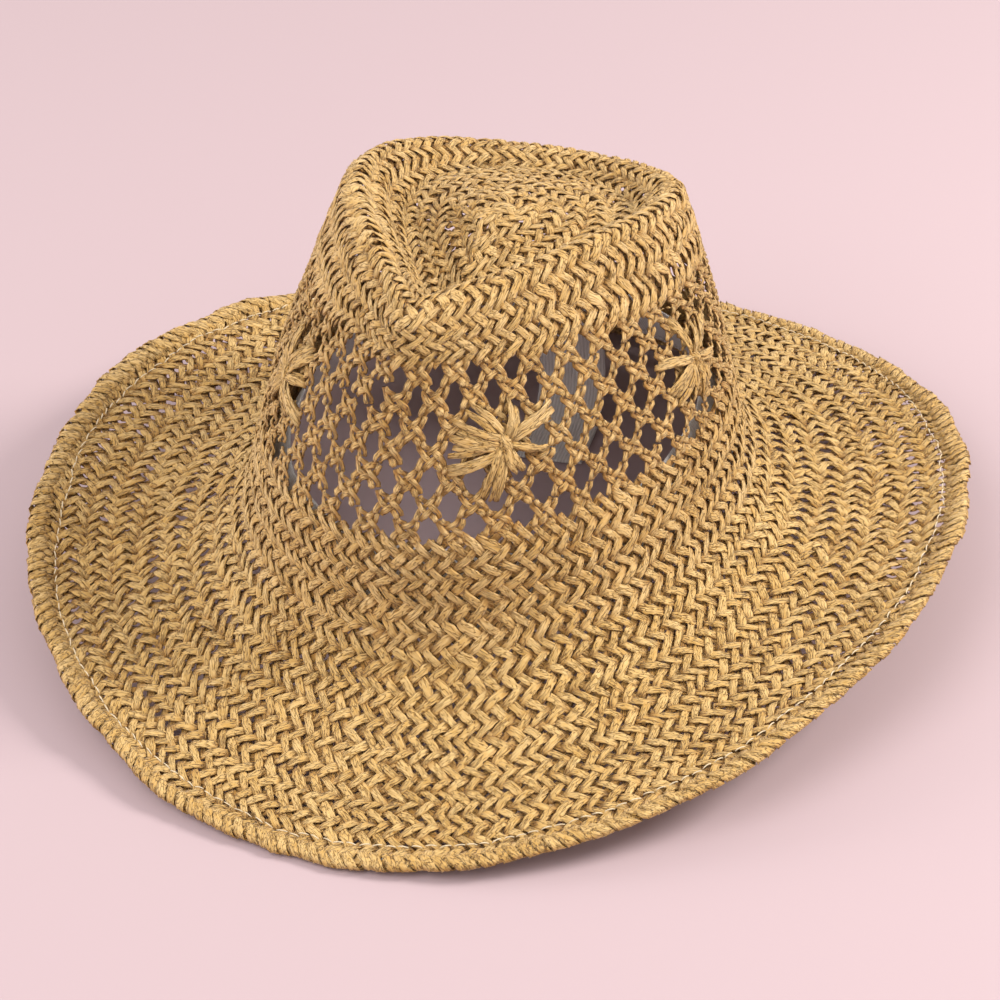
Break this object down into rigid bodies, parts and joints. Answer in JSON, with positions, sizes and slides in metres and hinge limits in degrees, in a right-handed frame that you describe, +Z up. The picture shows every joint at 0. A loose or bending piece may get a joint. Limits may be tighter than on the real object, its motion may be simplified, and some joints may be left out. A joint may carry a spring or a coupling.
{
  "type": "cowboy hat",
  "caption": "Woven straw cowboy hat with a teardrop crown, an openwork band with star motifs, and a wired brim curled up at the sides.",
  "frame": {"origin": "on the surface that the brim rests on, under the middle of the hat's outline", "axes": "+Z up through the crown, -Y out over the front of the brim, +X to the wearer's left"},
  "size_m": [0.3346, 0.352, 0.1447],
  "materials": {
    "straw": "twisted paper straw, dry and slightly glossy along its creases",
    "wire": "drawn spring wire",
    "thread": "spun sewing thread",
    "satin": "ribbed satin ribbon"
  },
  "bodies": {
    "root": {"crown_tip": "straw", "crown_upper_wall": "straw", "openwork_band": "straw", "star_motif_1": "straw", "star_motif_2": "straw", "star_motif_3": "straw", "star_motif_4": "straw", "star_motif_5": "straw", "crown_lower_wall": "straw", "brim": "straw", "brim_hem": "straw", "brim_wire": "wire", "wire_ferrule": "wire", "hem_stitching": "thread", "sweatband": "satin", "sweatband_stitching": "thread", "care_label": "satin"}
  },
  "joints": []
}
